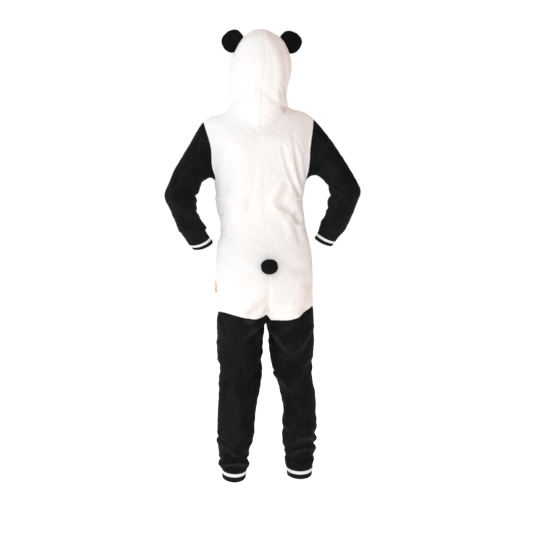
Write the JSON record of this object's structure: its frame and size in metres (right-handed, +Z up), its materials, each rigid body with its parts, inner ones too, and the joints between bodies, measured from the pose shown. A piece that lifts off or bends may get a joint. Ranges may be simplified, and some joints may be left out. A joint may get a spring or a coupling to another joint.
{
  "type": "hooded panda onesie",
  "caption": "Child's hooded fleece onesie in panda colours, with round padded ears, ball tail, front zip and ribbed cuffs, shaped as worn with the hands on the hips.",
  "frame": {"origin": "middle of the shoulders at the base of the neck, where the garment hangs from its wearer", "axes": "+Z up, the front faces -Y, the wearer's left is +X"},
  "size_m": [0.5417, 0.2369, 1.2628],
  "materials": {
    "white_fleece": "brushed off-white fleece",
    "black_fleece": "short black pile with a soft sheen",
    "black_rib": "ribbed black knit with one white stripe",
    "zip_tape": "woven zip tape",
    "zip_metal": "satin zip metal",
    "label_orange": "woven ribbon, blank"
  },
  "bodies": {
    "garment": {"hood_left": "white_fleece", "hood_right": "white_fleece", "back_left": "white_fleece", "back_right": "white_fleece", "front_left": "white_fleece", "front_right": "white_fleece", "sleeve_left": "black_fleece", "sleeve_right": "black_fleece", "cuff_left": "black_rib", "cuff_right": "black_rib", "leg_back_left": "black_fleece", "leg_back_right": "black_fleece", "leg_front_left": "black_fleece", "leg_front_right": "black_fleece", "ankle_cuff_left": "black_rib", "ankle_cuff_right": "black_rib", "ear_left": "black_fleece", "ear_right": "black_fleece", "tail": "black_fleece", "side_label": "label_orange", "zip_tape_left": "zip_tape", "zip_tape_right": "zip_tape", "zip_slider": "zip_metal"},
    "pull": {"zip_pull": "zip_metal"}
  },
  "joints": [
    {"name": "pull_hinge", "type": "hinge", "parent": "garment", "child": "pull", "pos_m": [0, -0.07296, -0.08626], "axis": [-1, 0, 0], "range_deg": [0, 150]}
  ]
}
